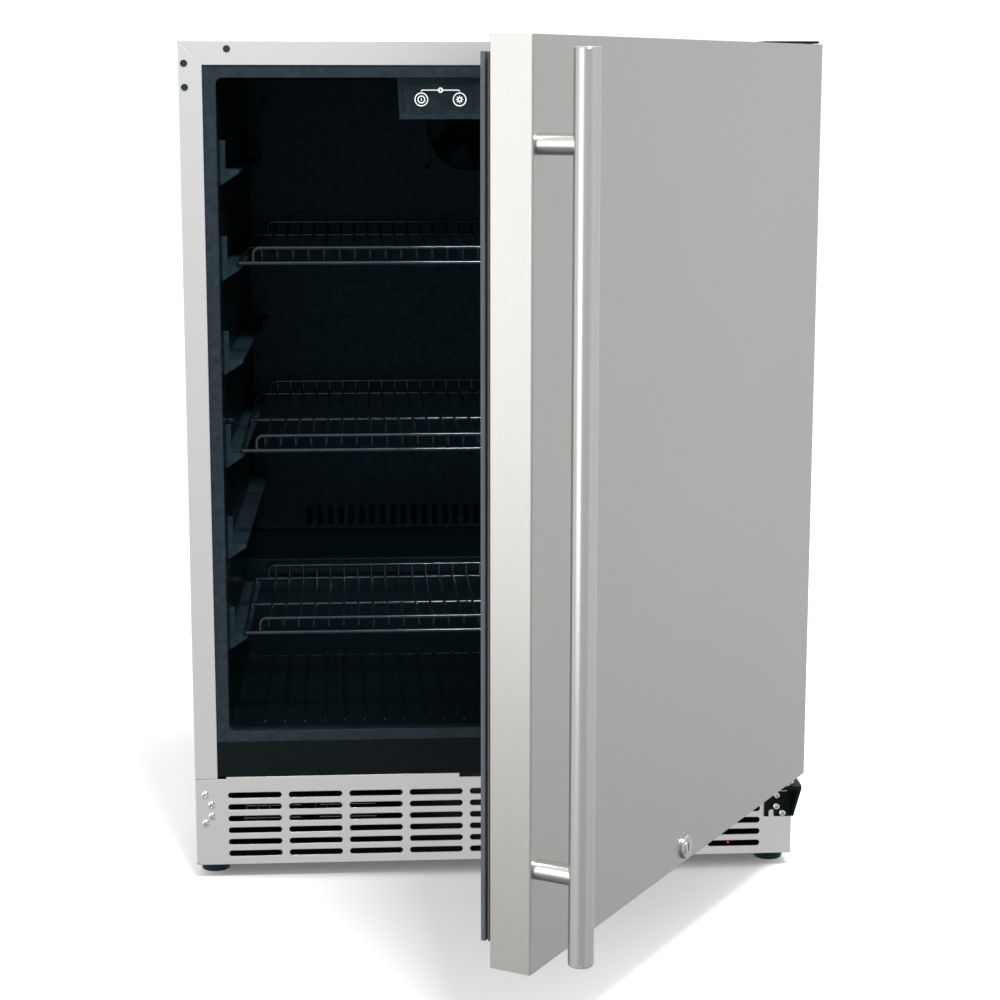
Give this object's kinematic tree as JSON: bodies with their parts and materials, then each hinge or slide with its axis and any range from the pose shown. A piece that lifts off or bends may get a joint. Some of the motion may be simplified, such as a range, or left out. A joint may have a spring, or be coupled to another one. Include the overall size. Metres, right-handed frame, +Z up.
{
  "type": "mini fridge",
  "caption": "Free-standing under-counter outdoor refrigerator with a solid hinged door, tubular handle, wire shelves and a louvred plinth.",
  "frame": {"origin": "on the floor, in the plane of the cabinet's front flange, at the middle of the cabinet's width", "axes": "+X to the right seen from the front, +Y back into the cabinet, +Z up"},
  "size_m": [0.6028, 1.1157, 0.82],
  "materials": {
    "brushed_stainless": "satin",
    "satin_stainless": "satin",
    "galvanised_steel": "satin",
    "black_steel": "satin",
    "machine_black": "gloss",
    "bright_screw": "polished",
    "shelf_wire": "polished",
    "black_liner": "satin",
    "black_plastic": "matte",
    "foam": "matte",
    "gasket_rubber": "matte",
    "aluminium": "satin",
    "copper": "satin",
    "board": "satin",
    "lens": "satin",
    "red_lamp": "gloss",
    "white_nylon": "matte",
    "fan_plastic": "satin"
  },
  "bodies": {
    "cabinet": {"left_side_panel": "satin_stainless", "right_side_panel": "satin_stainless", "top_panel": "satin_stainless", "rear_panel": "galvanised_steel", "bottom_plate": "galvanised_steel", "base_pan": "galvanised_steel", "machine_cover": "galvanised_steel", "cord_gland": "black_plastic", "kick_plate": "satin_stainless", "hinge_anchors": "galvanised_steel", "hinge_hole_plugs": "black_plastic", "insulation_foam": "foam", "inner_liner": "black_liner", "front_crossbar": "black_steel", "shelf_runners": "black_plastic", "rear_duct_panel": "black_liner", "fan_motor": "galvanised_steel", "evaporator": "aluminium", "control_housing": "black_plastic", "control_overlay": "black_plastic", "control_board": "board", "light_lens": "lens", "foot_nuts": "galvanised_steel", "top_hinge_bracket": "black_steel", "bottom_hinge_bracket": "black_steel", "hinge_pins": "bright_screw", "panel_screws": "bright_screw", "compressor": "machine_black", "compressor_grommets": "gasket_rubber", "terminal_cover": "black_plastic", "condenser": "copper", "condenser_fan_frame": "fan_plastic", "drip_tray": "black_plastic", "refrigerant_pipes": "copper", "control_box": "galvanised_steel", "indicator_lamp": "red_lamp"},
    "door": {"door_skin": "brushed_stainless", "door_foam": "foam", "door_liner": "black_liner", "door_gasket": "gasket_rubber", "handle_bar": "brushed_stainless", "handle_caps": "brushed_stainless", "handle_posts": "brushed_stainless", "handle_screws": "bright_screw", "door_bushes": "white_nylon", "lock_barrel": "bright_screw"},
    "lock_plug": {"lock_plug": "bright_screw"},
    "circulation_fan": {"circulation_fan": "fan_plastic"},
    "condenser_fan": {"condenser_fan": "fan_plastic"},
    "lower_shelf": {"lower_shelf": "shelf_wire"},
    "middle_shelf": {"middle_shelf": "shelf_wire"},
    "upper_shelf": {"upper_shelf": "shelf_wire"},
    "front_left_foot": {"front_left_foot": "black_plastic"},
    "front_right_foot": {"front_right_foot": "black_plastic"},
    "rear_left_foot": {"rear_left_foot": "black_plastic"},
    "rear_right_foot": {"rear_right_foot": "black_plastic"},
    "power_button": {"power_button": "black_plastic"},
    "light_button": {"light_button": "black_plastic"},
    "warmer_button": {"warmer_button": "black_plastic"},
    "colder_button": {"colder_button": "black_plastic"}
  },
  "joints": [
    {"name": "door_swing", "type": "hinge", "parent": "cabinet", "child": "door", "pos_m": [0.283, -0.0308, 0.1], "axis": [0, 0, 1], "range_deg": [-58.2, 56.8]},
    {"name": "lock_turn", "type": "hinge", "parent": "door", "child": "lock_plug", "pos_m": [0.14832, -0.28028, 0.1213], "axis": [0.8499, -0.527, 0], "range_deg": [-90, 0]},
    {"name": "circulation_fan_spin", "type": "hinge", "parent": "cabinet", "child": "circulation_fan", "pos_m": [0, 0.48, 0.7312], "axis": [0, 1, 0], "continuous": true},
    {"name": "condenser_fan_spin", "type": "hinge", "parent": "cabinet", "child": "condenser_fan", "pos_m": [-0.1885, 0.26, 0.06], "axis": [0, 1, 0], "continuous": true},
    {"name": "lower_shelf_slide", "type": "slide", "parent": "cabinet", "child": "lower_shelf", "axis": [0, -1, 0], "range_m": [0, 0.055]},
    {"name": "middle_shelf_slide", "type": "slide", "parent": "cabinet", "child": "middle_shelf", "axis": [0, -1, 0], "range_m": [0, 0.055]},
    {"name": "upper_shelf_slide", "type": "slide", "parent": "cabinet", "child": "upper_shelf", "axis": [0, -1, 0], "range_m": [0, 0.055]},
    {"name": "front_left_foot_level", "type": "slide", "parent": "cabinet", "child": "front_left_foot", "axis": [0, 0, -1], "range_m": [0, 0.02]},
    {"name": "front_right_foot_level", "type": "slide", "parent": "cabinet", "child": "front_right_foot", "axis": [0, 0, -1], "range_m": [0, 0.02]},
    {"name": "rear_left_foot_level", "type": "slide", "parent": "cabinet", "child": "rear_left_foot", "axis": [0, 0, -1], "range_m": [0, 0.02]},
    {"name": "rear_right_foot_level", "type": "slide", "parent": "cabinet", "child": "rear_right_foot", "axis": [0, 0, -1], "range_m": [0, 0.02]},
    {"name": "power_button_press", "type": "slide", "parent": "cabinet", "child": "power_button", "axis": [0, 1, 0], "range_m": [0, 0.0008], "stiffness_N_per_m": 800},
    {"name": "light_button_press", "type": "slide", "parent": "cabinet", "child": "light_button", "axis": [0, 1, 0], "range_m": [0, 0.0008], "stiffness_N_per_m": 800},
    {"name": "warmer_button_press", "type": "slide", "parent": "cabinet", "child": "warmer_button", "axis": [0, 1, 0], "range_m": [0, 0.0008], "stiffness_N_per_m": 800},
    {"name": "colder_button_press", "type": "slide", "parent": "cabinet", "child": "colder_button", "axis": [0, 1, 0], "range_m": [0, 0.0008], "stiffness_N_per_m": 800}
  ]
}
